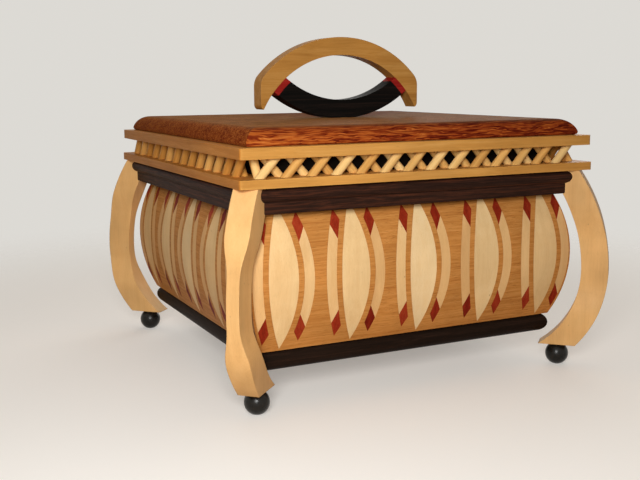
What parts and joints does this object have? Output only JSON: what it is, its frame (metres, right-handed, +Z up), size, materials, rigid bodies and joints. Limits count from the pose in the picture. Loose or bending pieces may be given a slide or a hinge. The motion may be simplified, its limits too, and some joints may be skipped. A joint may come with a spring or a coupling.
{
  "type": "wooden box",
  "caption": "Square wooden box on curved corner legs with ball feet, with bowed inlaid sides and a lift-off lid that has a dowel gallery and an arched handle.",
  "frame": {"origin": "on the resting surface, under the middle of the box", "axes": "+Z up; the front faces -Y and +X is to its right; the handle runs along X"},
  "size_m": [0.3372, 0.3372, 0.2752],
  "materials": {
    "lacewood": "rubbed oil over red-brown lacewood",
    "strip_maple": "clear satin over amber maple",
    "stick_maple": "clear satin over amber maple dowel",
    "liner_wood": "plain oiled dark wood",
    "leg_maple": "clear satin over cream maple",
    "ebony": "rubbed oil over ebony",
    "bloodwood": "clear satin over red bloodwood",
    "dowel_wood": "raw birch dowel",
    "brass": "plain brass",
    "wenge": "clear satin over wenge",
    "cherry": "clear satin over cherry",
    "inlay_maple": "clear satin over pale maple",
    "rail_wood": "clear satin over near-black wenge",
    "board_wood": "plain birch board",
    "black_lacquer": "gloss black lacquer on turned wooden balls"
  },
  "bodies": {
    "box": {"moulding_front": "wenge", "moulding_right": "wenge", "moulding_back": "wenge", "moulding_left": "wenge", "side_panel_front": "cherry", "side_panel_right": "cherry", "side_panel_back": "cherry", "side_panel_left": "cherry", "lens_inlays_front": "inlay_maple", "lens_inlays_right": "inlay_maple", "lens_inlays_back": "inlay_maple", "lens_inlays_left": "inlay_maple", "crescent_inlays_front": "inlay_maple", "crescent_inlays_right": "inlay_maple", "crescent_inlays_back": "inlay_maple", "crescent_inlays_left": "inlay_maple", "diamond_inlays_front": "bloodwood", "diamond_inlays_right": "bloodwood", "diamond_inlays_back": "bloodwood", "diamond_inlays_left": "bloodwood", "bottom_rail_front": "rail_wood", "bottom_rail_right": "rail_wood", "bottom_rail_back": "rail_wood", "bottom_rail_left": "rail_wood", "bottom_board": "board_wood", "leg_front_left": "leg_maple", "leg_front_right": "leg_maple", "leg_back_right": "leg_maple", "leg_back_left": "leg_maple", "ball_foot_front_left": "black_lacquer", "ball_foot_front_right": "black_lacquer", "ball_foot_back_right": "black_lacquer", "ball_foot_back_left": "black_lacquer", "ball_foot_pins": "dowel_wood", "leg_dowels": "dowel_wood"},
    "lid": {"lid_panel": "lacewood", "upper_strip_front": "strip_maple", "upper_strip_right": "strip_maple", "upper_strip_back": "strip_maple", "upper_strip_left": "strip_maple", "lower_strip_front": "strip_maple", "lower_strip_right": "strip_maple", "lower_strip_back": "strip_maple", "lower_strip_left": "strip_maple", "gallery_sticks_front": "stick_maple", "gallery_sticks_right": "stick_maple", "gallery_sticks_back": "stick_maple", "gallery_sticks_left": "stick_maple", "lid_liner_front": "liner_wood", "lid_liner_right": "liner_wood", "lid_liner_back": "liner_wood", "lid_liner_left": "liner_wood", "handle_arch": "leg_maple", "handle_bow": "ebony", "handle_cap_left": "bloodwood", "handle_cap_right": "bloodwood", "handle_dowels": "dowel_wood", "handle_screws": "brass"}
  },
  "joints": [
    {"name": "lid_lift", "type": "slide", "parent": "box", "child": "lid", "axis": [0, 0, 1], "range_m": [0, 0.15]}
  ]
}
